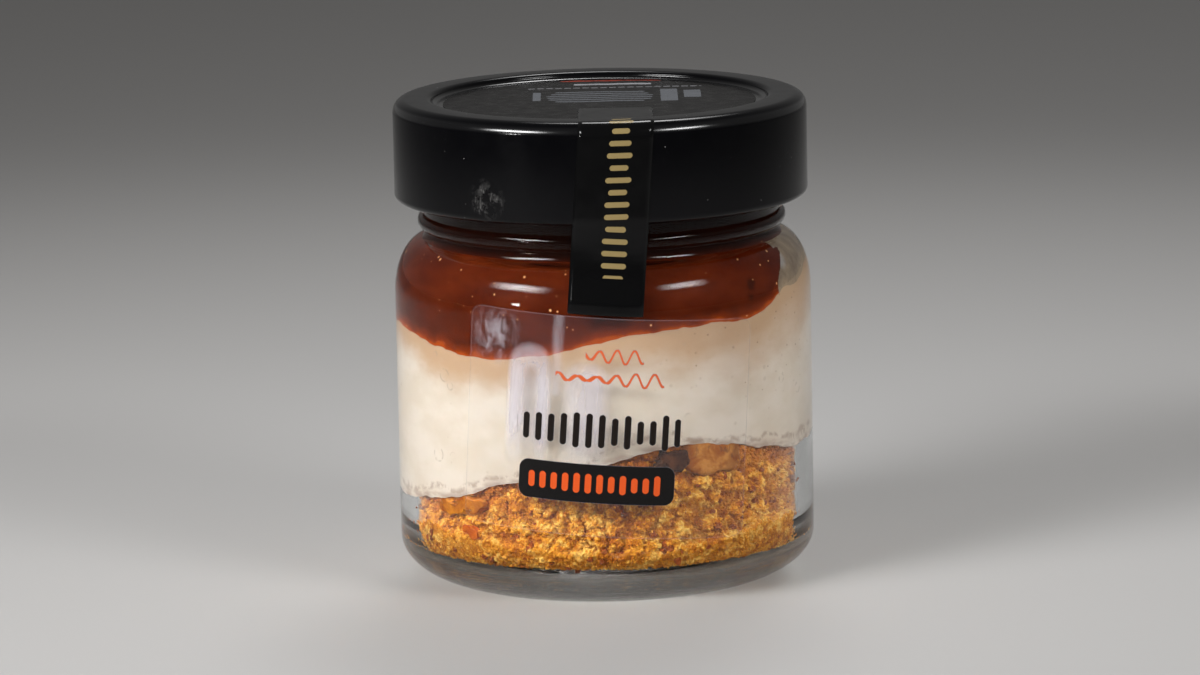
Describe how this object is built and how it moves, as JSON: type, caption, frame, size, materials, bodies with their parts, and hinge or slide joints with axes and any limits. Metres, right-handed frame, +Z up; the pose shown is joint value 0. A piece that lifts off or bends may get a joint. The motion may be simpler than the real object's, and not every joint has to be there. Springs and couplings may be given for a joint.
{
  "type": "layered banoffee dessert in a lidded glass jar",
  "caption": "Banoffee dessert in layers of biscuit crumb, cream and toffee, in a clear glass jar with a deep black twist lid, a seal strip and a clear film label.",
  "frame": {"origin": "centre of the jar's foot, on the surface it stands on", "axes": "+Z up along the jar's axis; the film label and the seal strip face -Y; +X is to the right when looking at the label"},
  "size_m": [0.0732, 0.0737, 0.0855],
  "materials": {
    "glass": "clear and glossy, thick at the base",
    "lid_lacquer": "black satin lacquer, lightly scuffed",
    "sticker": "black satin film, slightly wrinkled",
    "seal_film": "black glossy film with plain gold marks",
    "clear_film": "clear film with plain printed shapes",
    "toffee": "dark red-brown toffee, wet and glossy",
    "cream": "off-white to tan whipped cream with small bubbles",
    "crumb": "golden biscuit crumb with red-brown patches",
    "banana": "soaked brown banana, moist",
    "dark_fruit": "dark brown fruit, moist",
    "caramel": "amber caramel, glossy"
  },
  "bodies": {
    "root": {"jar": "glass", "lid": "lid_lacquer", "lid_sticker": "sticker", "seal_strip": "seal_film", "film_label": "clear_film", "toffee_layer": "toffee", "cream_layer": "cream", "crumb_layer": "crumb", "banana_slice": "banana", "date_piece": "dark_fruit", "caramel_pool": "caramel"}
  },
  "joints": []
}
